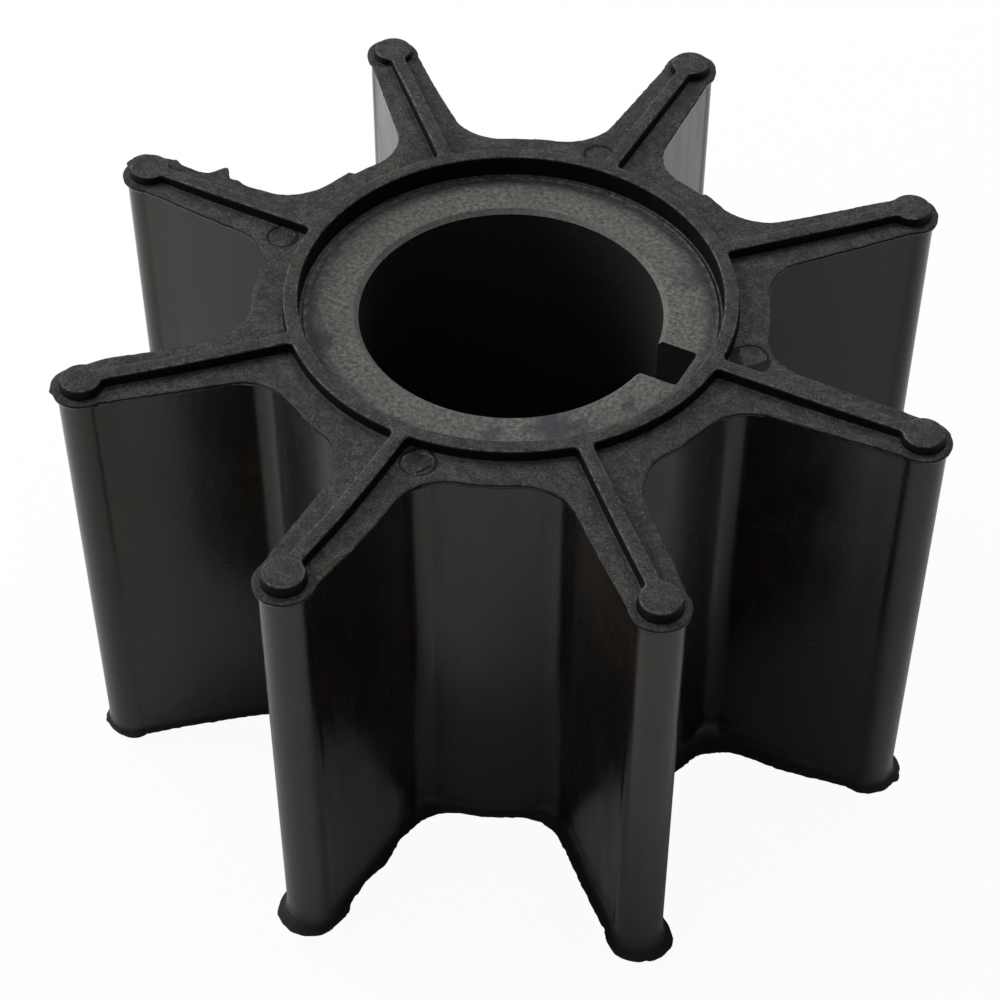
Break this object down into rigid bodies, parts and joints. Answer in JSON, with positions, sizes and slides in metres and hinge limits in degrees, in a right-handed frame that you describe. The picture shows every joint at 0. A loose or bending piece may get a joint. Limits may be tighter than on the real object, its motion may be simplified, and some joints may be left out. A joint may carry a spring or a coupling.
{
  "type": "flexible vane pump impeller",
  "caption": "Flexible rubber vane impeller moulded on a keyed hub bushing, turned by a pump shaft to carry water around an offset housing.",
  "frame": {"origin": "shaft axis in the plane that the lower sealing beads rest on", "axes": "+Z along the shaft axis towards the end with the ejector marks, +X through the keyway and the vane in line with it"},
  "size_m": [0.0576, 0.0576, 0.033],
  "materials": {
    "impeller_rubber": "satin, dusty",
    "hub_bushing": "dull, grainy"
  },
  "bodies": {
    "root": {"impeller_rubber": "impeller_rubber", "hub_bushing": "hub_bushing"}
  },
  "joints": []
}
